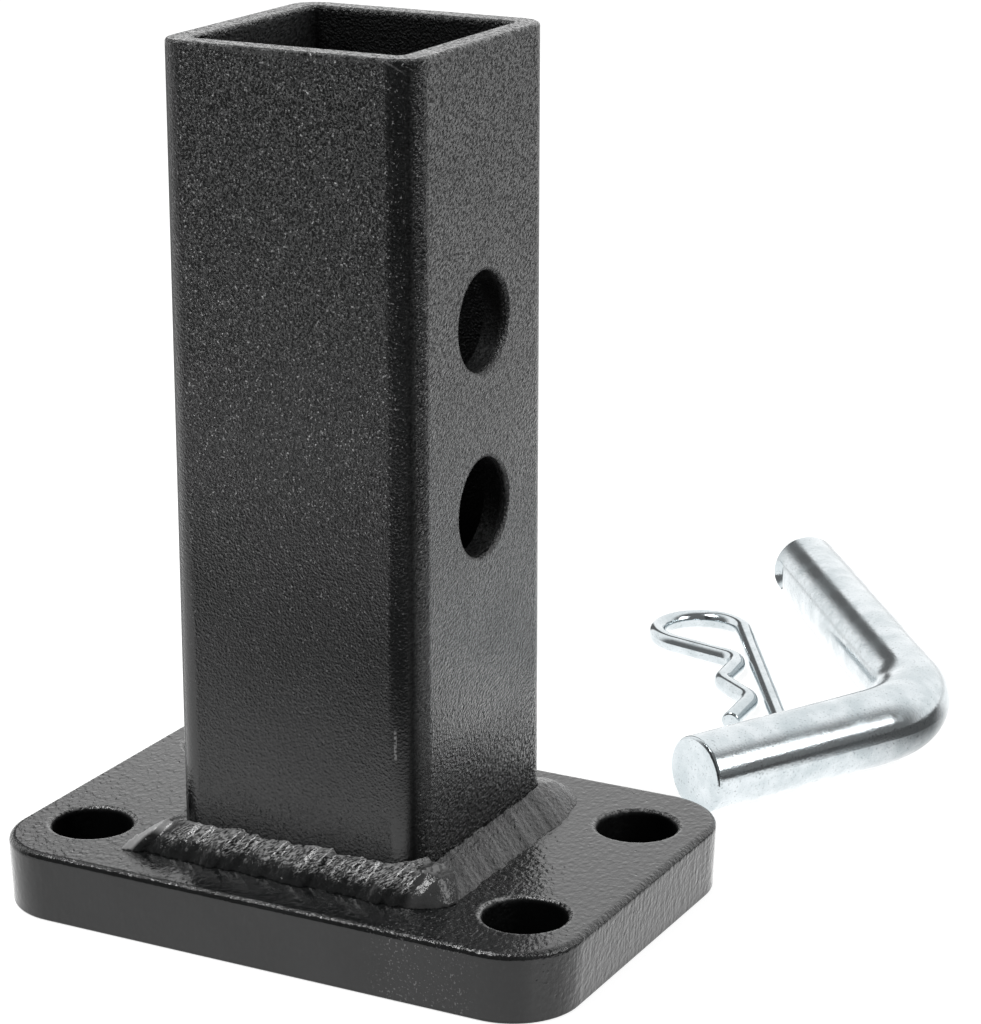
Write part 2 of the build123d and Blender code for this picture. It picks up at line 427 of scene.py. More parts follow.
tube_coat, tube = powder_coat(
    "tube_coat", grain=tube_grain_mm, gloss=0.07, spread=0.04, glint_and_nick_tone=0.40, glint_start=0.64
)
tube_tree = tube["tree"]
tube_place = object_place(tube_tree)
tube_x, tube_y, tube_z = axes_of(tube_tree, tube_place)
tube_normal = add_node(tube_tree, "ShaderNodeTexCoord").outputs["Normal"]
tube_facing_x, tube_facing_y = axes_of(tube_tree, tube_normal)[:2]

on_front = ramp_node(tube_tree, tube_facing_y, *faces_front, 1.0, 0.0)
low_down = ramp_mm(tube_tree, tube_z, *calm_zone_mm, 1.0, 0.0)
low_front = product(tube_tree, on_front, low_down)
turned = [
    ramp_node(tube_tree, math_node(tube_tree, "ABSOLUTE", facing), *faces_aslant)
    for facing in (tube_facing_x, tube_facing_y)
]
on_round = product(tube_tree, *turned)
liveliness = product(
    tube_tree,
    ramp_node(tube_tree, low_front, 0.0, 1.0, 1.0, calm_front),
    ramp_node(tube_tree, on_round, 0.0, 1.0, 1.0, calm_round),
)
feed(tube_tree, tube["bump"]["Distance"], tube_skin_depth_mm * MM)
feed(tube_tree, tube["bump"]["Strength"], liveliness)
print("the tube's skin is", tube_skin_depth_mm, "mm deep and", tube_grain_mm, "mm across")

# %% [markdown]
# ### Painted sheen on the ridges, and painted glints
# A painted sheen makes the tops of the wrinkles paler on the side walls than on the front,
# where the view looks straight on. Painted glints are common near the top and get rare
# towards the foot, and there are fewer of them on the rounded corners and on the side wall.

# %% Where the tube's painted ridge sheen and glints show
sheen_side, sheen_front, sheen_foot = 0.40, 0.05, 0.1
sheen_rise_mm = (18, 45)
# How much painted sheen the ridges get: much on the side walls, little on the front.
ridge_sheen_strength = ramp_node(tube_tree, on_front, 0.0, 1.0, sheen_side, sheen_front)
above_foot = ramp_mm(tube_tree, tube_z, *sheen_rise_mm, sheen_foot, 1.0)
tube_ridge_sheen = product(tube_tree, tube["ridges"], ridge_sheen_strength, above_foot, liveliness)
feed(tube_tree, tube["ridge sheen share"], tube_ridge_sheen)

glint_rise_mm = (30, 120)
glints_foot, glints_top = 0.05, 0.70
glints_round, glints_side = 0.45, 0.3
leaves_front, reaches_side = (-0.9995, -0.975), (0.985, 0.999)
# Painted glints: common high up, rare at the foot, fewer on the corners and the side wall.
face_glints = product(
    tube_tree,
    ramp_mm(tube_tree, tube_z, *glint_rise_mm, glints_foot, glints_top),
    ramp_node(tube_tree, tube_facing_y, *leaves_front, 1.0, glints_round),
    ramp_node(tube_tree, tube_facing_x, *reaches_side, 1.0, glints_side),
)
print("painted glints go from", glints_foot, "at the foot to", glints_top, "near the top")

# %% [markdown]
# ### Dull places on the tube
# The coat is thin and dull inside the tube and on the walls of the pin holes, and in
# blotches on the sawn rim. The valleys between the wrinkles are dull too, most of all high
# up and at the foot of the side wall, and that gives the leather its contrast.

# %% Where the tube's coat is dull
wall_mm = (23.6, 25.0)
rim_mm = (161.0, 162.2)
rim_blotch_mm, rim_blotch_band, rim_blotch_dull = 0.8, (0.38, 0.56), 0.8
sides = [math_node(tube_tree, "ABSOLUTE", side) for side in (tube_x, tube_y)]
inside_tube = ramp_mm(tube_tree, largest(tube_tree, *sides), *wall_mm, 1.0, 0.0)
at_rim = ramp_mm(tube_tree, tube_z, *rim_mm)
below_rim = outside(tube_tree, at_rim)
rim_noise = noise_node(tube_tree, tube_place, rim_blotch_mm, detail=3.0)
rim_blotches = ramp_node(tube_tree, rim_noise, *rim_blotch_band, rim_blotch_dull, 0.0)

foot_zone_mm, wall_zone_mm = (22, 46), (50, 150)
valley_low, valley_high = 0.12, 0.80
valley_foot, valley_front = 0.9, 0.4
faces_right = (0.5, 0.9)
side_foot = product(
    tube_tree,
    ramp_mm(tube_tree, tube_z, *foot_zone_mm, 1.0, 0.0),
    ramp_node(tube_tree, tube_facing_x, *faces_right),
)
valley_share = largest(
    tube_tree,
    ramp_mm(tube_tree, tube_z, *wall_zone_mm, valley_low, valley_high),
    product(tube_tree, side_foot, valley_foot),
    product(tube_tree, on_front, valley_front),
)
valleys = product(
    tube_tree, outside(tube_tree, tube["ridges"]), valley_share, liveliness, below_rim
)
dull_down(tube, largest(
    tube_tree,
    product(tube_tree, inside_tube, below_rim),
    product(tube_tree, at_rim, rim_blotches),
    valleys,
))
print("the rim starts at", rim_mm[0], "mm")

# %% [markdown]
# ### A run of paint at the rim, and the gritty foot
# The coat ran a little at the front right corner of the rim and left a shallow lip there,
# and it is gritty at the foot of the side wall. Both are a broader bump under the skin. The
# lip's lower edge rises on both sides of the corner, where X and Y cancel out.

# %% The tube's lip and gritty foot
lip_low, lip_high = 160.2 * MM, 162.0 * MM
lip_reach_mm = 5.6
lip_edge_mm = (-0.3, 0.1)
front_side_mm = (-16, -15)
foot_grit_mm = 0.85
broad_bump_mm = 0.40
from_corner = math_node(tube_tree, "ABSOLUTE", math_node(tube_tree, "ADD", tube_x, tube_y))
lip_edge = ramp_mm(tube_tree, from_corner, 0.0, lip_reach_mm, lip_low, lip_high)
above_lip = math_node(tube_tree, "SUBTRACT", tube_z, lip_edge)
lip = product(
    tube_tree,
    ramp_mm(tube_tree, above_lip, *lip_edge_mm),
    ramp_mm(tube_tree, tube_y, *front_side_mm, 1.0, 0.0),
)
foot_noise = noise_node(tube_tree, tube_place, foot_grit_mm, detail=1.0)
foot_grit = product(tube_tree, foot_noise, side_foot)
lay_bump(tube, math_node(tube_tree, "ADD", lip, foot_grit), broad_bump_mm)
print("the lip is", round((lip_high - lip_low) / MM, 1), "mm deep at the corner")

# %% [markdown]
# ### A nick in the corner
# A light nick runs down the same corner, a little above the weld: a thin upright strip at
# one place, broken by noise. With it, all the tube's bright marks are known: the nick, the
# painted glints on the walls and on the rim, and a painted highlight on the lip of the paint
# run. The largest of them says how bright each point is.

# %% The tube's nick and all its bright marks
nick_x_mm, nick_z_mm = 21.05, 41.5
nick_half_width_mm, nick_half_length_mm = (0.10, 0.35), (2.2, 3.2)
nick_tone, nick_break_mm, nick_break_band = 0.28, 0.6, (0.38, 0.52)
rim_glint_tone, rim_glint_band, lip_highlight_tone = 0.8, (0.48, 0.60), 0.9
beside_nick = apart_from(tube_tree, tube_x, nick_x_mm * MM)
along_nick = apart_from(tube_tree, tube_z, nick_z_mm * MM)
nick_noise = noise_node(tube_tree, tube_place, nick_break_mm)
nick = product(
    tube_tree,
    ramp_mm(tube_tree, beside_nick, *nick_half_width_mm, nick_tone, 0.0),
    ramp_mm(tube_tree, along_nick, *nick_half_length_mm, 1.0, 0.0),
    on_front,
    ramp_node(tube_tree, nick_noise, *nick_break_band),
)
# Painted glints on the rim, and a painted highlight on the lip of the paint run.
rim_glints = ramp_node(tube_tree, rim_noise, *rim_glint_band, 0.0, rim_glint_tone)
tube_glints = largest(
    tube_tree,
    product(tube_tree, face_glints, outside(tube_tree, inside_tube)),
    product(tube_tree, at_rim, rim_glints),
    product(tube_tree, lip, lip_highlight_tone),
)
tube_glints_and_nick = largest(tube_tree, product(tube_tree, tube["glints"], tube_glints), nick)
feed(tube_tree, tube["glint and nick share"], tube_glints_and_nick)
print("tube coat has", len(tube_tree.nodes), "nodes")

# %% [markdown]
# ## The front weld's coat
# Short slanting streaks of painted sheen stand for the light that the hot bead's lumps
# catch. They cover its upper half and thin out raggedly towards the plate. A noise texture
# that is stretched along the slant gives the streaks, and a height band with a noisy edge
# keeps them up high.

# %% Coat for the front weld, with slanting streaks of painted sheen
sheen_streak_tone = 0.55
sheen_streak_width_mm, sheen_streak_band = 0.27, (0.46, 0.60)
sheen_streak_stretch = (2.8, 1, 1)
bead_tilt, sheen_streak_slant = 45, 42
sheen_band_mm = (18.6, 20.4)
ragged_size_mm, ragged_by_mm = 2.0, 6
weld_skin_depth_mm, weld_ridge_sheen = 0.16, 0.05

front_weld_coat, weld = powder_coat(
    "front_weld_coat", grain=0.8, gloss=0.10, spread=0.04, glint_and_nick_tone=0.30, pimples=0.0, shine=0.3
)
weld_tree = weld["tree"]
weld_place = object_place(weld_tree)
weld_x, weld_y, weld_z = axes_of(weld_tree, weld_place)
feed(weld_tree, weld["bump"]["Distance"], weld_skin_depth_mm * MM)
feed(weld_tree, weld["ridge sheen share"], product(weld_tree, weld["ridges"], weld_ridge_sheen))

ragged_noise = noise_node(weld_tree, weld_place, ragged_size_mm, detail=3.0)
ragged = product(weld_tree, ragged_noise, ragged_by_mm * MM)
sheen_band = ramp_mm(weld_tree, math_node(weld_tree, "ADD", weld_z, ragged), *sheen_band_mm)
turn_up = Matrix.Rotation(math.radians(bead_tilt), 3, "X")
turn_aslant = Matrix.Rotation(math.radians(sheen_streak_slant), 3, "Z")
sheen_streak_turn = (turn_up @ turn_aslant).to_euler()
sheen_streak_place = stretched_place(weld_tree, weld_place, sheen_streak_turn, sheen_streak_stretch)
sheen_streak_noise = noise_node(weld_tree, sheen_streak_place, sheen_streak_width_mm, detail=1.0, distortion=0.3)
# Painted sheen: slanting streaks on the upper half of the bead.
sheen = product(
    weld_tree, ramp_node(weld_tree, sheen_streak_noise, *sheen_streak_band), sheen_band
)
print("slag streaks are about", sheen_streak_width_mm, "mm wide")

# %% [markdown]
# ### The ends and the upper edge of the front weld
# Over its left end the bead is smooth and has a painted sheen, along the ridge where two
# beads meet, and its right end has a little painted sheen too. Its upper edge is a broken
# bright line. The painted streaks keep clear of both ends.

# %% The front weld's painted sheen on the ridge and the end, and its bright edge
tube_corner = 25.4 * MM
ridge_slant = (0.573, 0.819)
ridge_width_mm, ridge_end_mm, sheen_gap_mm = (0.8, 1.6), (-1.0, 0.5), (1.4, 3.0)
right_end_mm = (25.0, 26.8)
upper_edge_mm, edge_break_mm, edge_break_band = (18.2, 19.0), 0.9, (0.40, 0.55)
mitre_sheen_tone, end_sheen_tone, edge_tone = 0.8, 0.07, 0.55
past_corner_x = math_node(weld_tree, "ADD", weld_x, tube_corner)
past_corner_y = math_node(weld_tree, "ADD", weld_y, tube_corner)
from_ridge = math_node(
    weld_tree, "SUBTRACT",
    product(weld_tree, past_corner_x, ridge_slant[0]),
    product(weld_tree, past_corner_y, ridge_slant[1]),
)
# Painted sheen along the ridge where two beads meet, and a little at the right end.
mitre_sheen = product(
    weld_tree,
    ramp_mm(weld_tree, from_ridge, *ridge_width_mm, mitre_sheen_tone, 0.0),
    ramp_mm(weld_tree, past_corner_x, *ridge_end_mm, 1.0, 0.0),
)
end_sheen = ramp_mm(weld_tree, weld_x, *right_end_mm, 0.0, end_sheen_tone)
between_ends = product(
    weld_tree,
    ramp_mm(weld_tree, from_ridge, *sheen_gap_mm),
    ramp_mm(weld_tree, weld_x, *right_end_mm, 1.0, 0.0),
)
edge_noise = noise_node(weld_tree, weld_place, edge_break_mm)
upper_edge = product(
    weld_tree,
    ramp_mm(weld_tree, weld_z, *upper_edge_mm),
    ramp_node(weld_tree, edge_noise, *edge_break_band, 0.0, edge_tone),
)
# All the front weld's painted sheen, with its bright upper edge, sets how bright each point is.
sheen_and_edge = largest(weld_tree, product(weld_tree, sheen, between_ends), upper_edge)
weld_marks = largest(
    weld_tree, product(weld_tree, sheen_and_edge, sheen_streak_tone), mitre_sheen, end_sheen
)
feed(weld_tree, weld["glint and nick share"], weld_marks)
print("front weld coat has", len(weld_tree.nodes), "nodes")

# %% [markdown]
# ## The other welds' coat
# The side and rear beads are plainer: an even, rougher coat with a little painted sheen on
# its ridges and a few faint painted glints.

# %% Coat for the side and rear welds
side_skin_depth_mm, side_ridge_sheen, side_glints = 0.26, 0.08, 0.06
side_weld_coat, side_weld = powder_coat("side_weld_coat", grain=0.6, gloss=0.20, spread=0.10)
side_tree = side_weld["tree"]
feed(side_tree, side_weld["bump"]["Distance"], side_skin_depth_mm * MM)
# A little painted sheen on the ridges, and a few faint painted glints.
feed(side_tree, side_weld["ridge sheen share"], product(side_tree, side_weld["ridges"], side_ridge_sheen))
feed(side_tree, side_weld["glint and nick share"], product(side_tree, side_weld["glints"], side_glints))
print("coats made:", tube_coat.name, front_weld_coat.name, side_weld_coat.name)

# %% [markdown]
# ## The plate's cut edges
# The plate was cut with a flame, which leaves fine upright streaks down its edges. The coat
# covers them but they still show as soft ridges on the right-hand side. They are made by
# stretching noise along the height of the plate, and a mask keeps them to the edge band, so
# the flat top and the underside stay plain. The rounded arris between top and edge is
# rough, and the front edge is the calmest.

# %% Coat for the plate, with streaks and a rough arris
streak_width_mm = 0.9
streak_squeeze = (1, 1, 0.16)
streak_depth_mm = 0.13
arris_grit_mm, arris_strength = 0.8, 2.5
front_calm = 0.25
edge_band, front_edge_band = (0.15, 0.5), (-0.9, -0.6)
arris_start, arris_end = (0.3, 0.6), (0.96, 0.995)

plate_coat, plate = powder_coat("plate_coat", grain=0.95, gloss=0.09, spread=0.02)
plate_tree = plate["tree"]
plate_place = object_place(plate_tree)
plate_x, plate_y = axes_of(plate_tree, plate_place)[:2]
plate_normal = add_node(plate_tree, "ShaderNodeNewGeometry").outputs["Normal"]
plate_facing_x, plate_facing_y, plate_facing_z = axes_of(plate_tree, plate_normal)
facing_up = math_node(plate_tree, "ABSOLUTE", plate_facing_z)
on_edge = ramp_node(plate_tree, facing_up, *edge_band, 1.0, 0.0)
edge_calm = ramp_node(plate_tree, plate_facing_y, *front_edge_band, front_calm, 1.0)

squeeze = add_node(plate_tree, "ShaderNodeMapping", Scale=streak_squeeze)
feed(plate_tree, squeeze.inputs["Vector"], plate_place)
streaks = noise_node(plate_tree, squeeze.outputs["Vector"], streak_width_mm, detail=3.0)
on_arris = product(
    plate_tree,
    ramp_node(plate_tree, facing_up, *arris_start),
    ramp_node(plate_tree, facing_up, *arris_end, 1.0, 0.0),
    edge_calm,
)
arris_grit = noise_node(plate_tree, plate_place, arris_grit_mm, detail=3.0)
edge_height = math_node(
    plate_tree, "ADD",
    product(plate_tree, streaks, on_edge, edge_calm),
    product(plate_tree, arris_grit, on_arris, arris_strength),
)
lay_bump(plate, edge_height, streak_depth_mm)
print("streaks on the cut edges are", streak_width_mm, "mm wide")

# %% [markdown]
# ### Round the bolt holes
# The walls of the bolt holes are dull, and a broken painted highlight runs round their rims.
# All four holes stand at the same distances from the middle, so one sum on the absolute X
# and Y gives the distance to the nearest hole. The cut edges are a little dull too.

# %% The plate's holes, dull places and painted rim highlights
hole_x_mm, hole_y_mm = 45.5, 23.0
hole_wall_mm, hole_rim_mm = (7.6, 8.0), (8.2, 9.0)
rim_break_mm, rim_break_band, rim_highlight_tone = 0.7, (0.40, 0.60), 0.8
dull_front, dull_right = 0.25, 0.18


def beside_middle(coordinate, middle_mm):
    """How far a coordinate is past a distance from the plate's middle, on either side."""
    off_middle = math_node(plate_tree, "ABSOLUTE", coordinate)
    return math_node(plate_tree, "SUBTRACT", off_middle, middle_mm * MM)


beside_x = beside_middle(plate_x, hole_x_mm)
beside_y = beside_middle(plate_y, hole_y_mm)
hole_squares = [product(plate_tree, side, side) for side in (beside_x, beside_y)]
from_hole = math_node(plate_tree, "SQRT", math_node(plate_tree, "ADD", *hole_squares))
hole_wall = ramp_mm(plate_tree, from_hole, *hole_wall_mm, 1.0, 0.0)
dull_down(plate, largest(
    plate_tree,
    ramp_node(plate_tree, edge_calm, front_calm, 1.0, dull_front, 0.0),
    ramp_node(plate_tree, plate_facing_x, *faces_right, 0.0, dull_right),
    hole_wall,
))
rim_break_noise = noise_node(plate_tree, plate_place, rim_break_mm)
# Painted highlight: a broken bright ring round the rims of the holes.
hole_rim_highlight = product(
    plate_tree,
    ramp_mm(plate_tree, from_hole, *hole_rim_mm, 1.0, 0.0),
    ramp_mm(plate_tree, from_hole, *hole_wall_mm),
    ramp_node(plate_tree, rim_break_noise, *rim_break_band, 0.0, rim_highlight_tone),
)
print("bolt holes stand", hole_x_mm, "and", hole_y_mm, "mm from the middle")

# %% [markdown]
# ### Coarse grain at the front right
# Between the weld and the front right hole the coat is coarse, with many painted glints. On
# the rest of the top it is a shallow orange peel. The depth of the skin, the painted glints
# and the painted sheen on the ridges all follow from where the point is.

# %% How deep and how grainy the plate's skin is
peel_depth, coarse_depth, edge_depth = 0.13 * MM, 0.24 * MM, 0.16 * MM
peel_glints, coarse_glints = 0.05, 0.5
plate_ridge_sheen = 0.08
coarse_left_mm, coarse_right_mm, coarse_rear_mm = (20, 30), (38, 48), (-12, 8)
coarse_part = product(
    plate_tree,
    ramp_mm(plate_tree, plate_x, *coarse_left_mm),
    ramp_mm(plate_tree, plate_x, *coarse_right_mm, 1.0, 0.0),
    ramp_mm(plate_tree, plate_y, *coarse_rear_mm, 1.0, 0.0),
)
# Painted glints: many in the coarse part, few elsewhere, none on the hole walls.
plate_glints = product(
    plate_tree,
    plate["glints"],
    ramp_node(plate_tree, coarse_part, 0.0, 1.0, peel_glints, coarse_glints),
    outside(plate_tree, hole_wall),
)
feed(plate_tree, plate["glint and nick share"], largest(plate_tree, plate_glints, hole_rim_highlight))
# Painted sheen on the ridges, less on the calm front edge.
feed(plate_tree, plate["ridge sheen share"], product(
    plate_tree, plate["ridges"], edge_calm, plate_ridge_sheen
))
skin_depth = largest(
    plate_tree,
    ramp_node(plate_tree, coarse_part, 0.0, 1.0, peel_depth, coarse_depth),
    product(plate_tree, on_edge, edge_depth),
)
feed(plate_tree, plate["bump"]["Distance"], product(plate_tree, edge_calm, skin_depth))
print("plate coat has", len(plate_tree.nodes), "nodes")

# %% [markdown]
# ## Bright zinc
# The pin and the clip are plated with bright zinc, a bluish mirror that is never quite
# clean. Fine dark specks break up its reflections, and each piece has duller and brighter
# places. Both pieces share one node group for that, each with its own size of speck.

# %% Node group for plated zinc
cloud_size_mm, cloud_band = 7.0, (0.3, 0.7)
speck_band = (0.60, 0.72)
plating, plating_in, plating_out = new_group(
    "zinc_plating", {"Speck Size": 0.25}, ("Height", "Specks", "Clouds")
)
plating_place = object_place(plating)
speck_scale = math_node(plating, "DIVIDE", 1 / MM, plating_in["Speck Size"])
speck_node = add_node(plating, "ShaderNodeTexNoise", Detail=2.0)
feed(plating, speck_node.inputs["Vector"], plating_place)
feed(plating, speck_node.inputs["Scale"], speck_scale)
speck_noise = speck_node.outputs["Fac"]
feed(plating, plating_out["Specks"], ramp_node(plating, speck_noise, *speck_band))
feed(plating, plating_out["Height"], speck_noise)
clouds = noise_node(plating, plating_place, cloud_size_mm, detail=4.0, roughness=0.6)
feed(plating, plating_out["Clouds"], ramp_node(plating, clouds, *cloud_band))
print("zinc group has", len(plating.nodes), "nodes")

# %% [markdown]
# ### The zinc itself
# A metal's Base Color is the tint of its mirror. It varies between a duller and a brighter
# bluish grey with the clouds, and so does the roughness, while the specks are darker.

# %% Zinc for the pin and the clip
zinc_dull = (0.46, 0.51, 0.53, 1)
zinc_bright = (0.60, 0.64, 0.66, 1)
zinc_speck = (0.16, 0.18, 0.19, 1)
speck_share = 0.5
dull_by, bright_by = 0.06, 0.03


def bright_zinc(name, speck_size_mm, depth_mm, gloss):
    """Plated steel with specks, as a metal whose roughness and tone vary."""
    material = bpy.data.materials.new(name)
    material.use_nodes = True
    tree = material.node_tree
    inputs = tree.nodes["Principled BSDF"].inputs
    inputs["Metallic"].default_value = 1.0
    look = use_group(tree, plating, Speck_Size=speck_size_mm)
    tone = mix_colours(tree, look["Clouds"], zinc_dull, zinc_bright)
    faint = product(tree, look["Specks"], speck_share)
    specked = mix_colours(tree, faint, tone.outputs["Result"], zinc_speck)
    feed(tree, inputs["Base Color"], specked.outputs["Result"])
    rough = ramp_node(tree, look["Clouds"], 0.0, 1.0, gloss + dull_by, gloss - bright_by)
    feed(tree, inputs["Roughness"], rough)
    bump = add_node(tree, "ShaderNodeBump", Strength=1.0, Distance=depth_mm * MM)
    feed(tree, bump.inputs["Height"], look["Height"])
    feed(tree, inputs["Normal"], bump.outputs["Normal"])
    return material


pin_zinc = bright_zinc("pin_zinc", 0.45, 0.022, 0.15)
clip_zinc = bright_zinc("clip_zinc", 0.35, 0.010, 0.12)
print("zinc made:", pin_zinc.name, clip_zinc.name)

# %% [markdown]
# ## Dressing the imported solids
# The tube, the plate, the pin and the clip already have the right shape, so they only get
# a better material in place of the plain one that they came with.

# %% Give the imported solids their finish
def dress(node_name, material):
    """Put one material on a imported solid, in place of the plain one it came with."""
    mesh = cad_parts[node_name].data
    mesh.materials.clear()
    mesh.materials.append(material)
    print(node_name, "wears", material.name)


dress("receiver_tube", tube_coat)
dress("base_plate", plate_coat)
dress("hitch_pin", pin_zinc)
dress("pin_clip", clip_zinc)

# %% [markdown]
# ## Weld beads
# A weld is a row of frozen puddles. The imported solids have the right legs, ripples and
# ends, but a real bead is also lumpy, and the coat pools in its hollows. Each bead here is a
# copy of its solid, made again as an even net of small faces with a voxel remesh, and then
# pushed in and out by two noise textures: a coarse one for the lumps and a fine one for the
# spatter on it.

# %% Helpers for pushing a surface in and out
def lump_texture(name, size_mm):
    """A cloud pattern whose lumps are about this many millimetres across."""
    texture = bpy.data.textures.new(name, "CLOUDS")
    texture.noise_scale = size_mm * MM
    texture.noise_depth = 2
    return texture


def push(piece, texture, height_mm):
    """Add a Displace modifier that moves the faces along their normals."""
    modifier = piece.modifiers.new(texture.name, "DISPLACE")
    modifier.texture = texture
    modifier.texture_coords = "LOCAL"
    modifier.strength = height_mm * MM
    modifier.mid_level = 0.5


# %% [markdown]
# ### One lumpy bead
# The copy is merged first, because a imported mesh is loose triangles. The remesh gives it
# its even net, a Smooth modifier takes off the steps that the remesh leaves, and the two
# pushes come last. When the modifiers are applied, the piece stands for its packed bead.

# %% Lumpy copies of the beads
merge_distance_mm = 0.002
net_size_mm = 0.25


def lumpy_bead(node_name, piece_name, lump_mm, lump_height_mm, grit_mm, grit_height_mm, material):
    """A detailed bead that stands for a packed one."""
    piece = bpy.data.objects.new(piece_name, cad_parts[node_name].data.copy())
    bpy.context.scene.collection.objects.link(piece)
    select_only(piece)
    bpy.ops.object.mode_set(mode="EDIT")
    bpy.ops.mesh.select_all(action="SELECT")
    bpy.ops.mesh.remove_doubles(threshold=merge_distance_mm * MM)
    bpy.ops.object.mode_set(mode="OBJECT")
    remesh = piece.modifiers.new("even_net", "REMESH")
    remesh.mode = "VOXEL"
    remesh.voxel_size = net_size_mm * MM
    soften = piece.modifiers.new("soften", "SMOOTH")
    soften.factor = 0.5
    soften.iterations = 4
    push(piece, lump_texture(piece_name + "_lumps", lump_mm), lump_height_mm)
    push(piece, lump_texture(piece_name + "_grit", grit_mm), grit_height_mm)
    finish_modifiers(piece)
    bpy.ops.object.shade_smooth()
    piece.data.materials.clear()
    piece.data.materials.append(material)
    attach(piece, "root")
    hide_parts(node_name)
    print(piece_name, "has", len(piece.data.polygons), "faces")


lumpy_bead("weld_front", "front_bead", 4.0, 0.22, 1.3, 0.04, front_weld_coat)
lumpy_bead("weld_right", "right_bead", 4.5, 0.3, 1.0, 0.04, side_weld_coat)
lumpy_bead("weld_rear", "rear_bead", 3.5, 0.35, 1.0, 0.10, side_weld_coat)
lumpy_bead("weld_left", "left_bead", 3.5, 0.20, 1.0, 0.04, side_weld_coat)

# %% [markdown]
# ## The floor
# The photograph has a plain white ground. The floor here is a pale matt sheet that catches
# the object's soft shadow. It is also made to glow a little for the camera, so that it
# looks nearly white without more light on the object.

# %% Floor and its matt paint
floor_size = 6.0
bpy.ops.object.select_all(action="DESELECT")
bpy.ops.mesh.primitive_plane_add(size=floor_size, location=(0, 0, 0))
floor = bpy.context.active_object
floor.name = "floor"
floor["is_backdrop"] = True

floor_paint = bpy.data.materials.new("floor_paint")
floor_paint.use_nodes = True
floor.data.materials.append(floor_paint)
floor_tree = floor_paint.node_tree
matt_floor = floor_tree.nodes["Principled BSDF"]
matt_floor.inputs["Base Color"].default_value = (0.86, 0.86, 0.86, 1)
matt_floor.inputs["Roughness"].default_value = 0.9
matt_floor.inputs["Specular IOR Level"].default_value = 0.0
print("floor is", floor_size, "m across")

# %% [markdown]
# ### What the paint mirrors of the floor
# Black paint shows mostly what it mirrors, so the floor that it sees matters more than the
# lamps. In reflections the floor fades a little way in front of the object and far away,
# and it is dark to the front right and right beside the plate. A dot product with a
# direction says how far a place lies that way, and the direction's length is 1 on the floor.

# %% Brightness of the floor in reflections
def along(tree, vector, direction):
    """How far a place or a way goes along a direction."""
    node = add_node(tree, "ShaderNodeVectorMath", operation="DOT_PRODUCT")
    feed(tree, node.inputs[0], vector)
    node.inputs[1].default_value = direction
    return node.outputs["Value"]


def one_long(tree, vector):
    """The same direction with a length of 1."""
    node = add_node(tree, "ShaderNodeVectorMath", operation="NORMALIZE")
    feed(tree, node.inputs[0], vector)
    return node.outputs["Vector"]


to_the_camera = (0.465, -0.885, 0)
to_the_right = (0.866, -0.5, 0)
dark_side, dark_start_m, dark_level = (-0.15, 0.09), (0.10, 0.16), 0.08
front_band_m, front_levels = (0.05, 0.35), (0.9, 0.20)
far_band_m, far_levels = (0.12, 0.60), (1.65, 0.75)
floor_place = object_place(floor_tree)
distance_node = add_node(floor_tree, "ShaderNodeVectorMath", operation="LENGTH")
feed(floor_tree, distance_node.inputs[0], floor_place)
from_object = distance_node.outputs["Value"]
in_front = along(floor_tree, floor_place, to_the_camera)
right_share = along(floor_tree, one_long(floor_tree, floor_place), to_the_right)
in_dark = product(
    floor_tree,
    ramp_node(floor_tree, right_share, *dark_side),
    ramp_node(floor_tree, from_object, *dark_start_m),
)
floor_mirrored = product(
    floor_tree,
    ramp_node(floor_tree, in_front, *front_band_m, *front_levels),
    ramp_node(floor_tree, in_dark, 0.0, 1.0, 1.0, dark_level),
    ramp_node(floor_tree, from_object, *far_band_m, *far_levels),
)
print("the floor is dark in reflections to the front right")

# %% [markdown]
# ### A painted shadow of the plate in reflections
# The cut edges mirror the floor right beside them, which the plate keeps dark, so a painted
# shadow darkens the floor's glow there for glossy rays. The dark part has the plate's
# outline: a rectangle with round corners. Past the middles of those corners, the distance is
# a plain root of squares, and it is zero in between.

# %% Painted shadow on the floor's glow under the plate's outline
plate_low, plate_high = (Vector(corner_place) for corner_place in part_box("base_plate"))
plate_corner = 13.5 * MM
rim_blur_mm = (-2, 1)
shadow_level = 0.02
floor_x, floor_y = axes_of(floor_tree, floor_place)[:2]
outline_squares = []
for coordinate, reach in ((floor_x, plate_high.x), (floor_y, plate_high.y)):
    off_middle = math_node(floor_tree, "ABSOLUTE", coordinate)
    past = math_node(floor_tree, "SUBTRACT", off_middle, reach - plate_corner)
    past = largest(floor_tree, past, 0.0)
    outline_squares.append(product(floor_tree, past, past))
past_corners = math_node(floor_tree, "SQRT", math_node(floor_tree, "ADD", *outline_squares))
blur_start, blur_end = (plate_corner + end * MM for end in rim_blur_mm)
# Painted shadow: the floor's mirrored glow drops to the shadow level inside the outline.
painted_plate_shadow = ramp_node(floor_tree, past_corners, blur_start, blur_end, shadow_level, 1.0)
floor_mirrored = product(floor_tree, floor_mirrored, painted_plate_shadow)
print("plate is", round((plate_high.z - plate_low.z) / MM, 2), "mm thick")

# %% [markdown]
# ### Matt and glowing floor together
# Light Path tells which kind of ray meets the floor. A glossy ray sees only the mirrored
# brightness, the camera sees a blend of the glow and the matt paint with its shadow, and
# every other ray sees the matt paint alone.

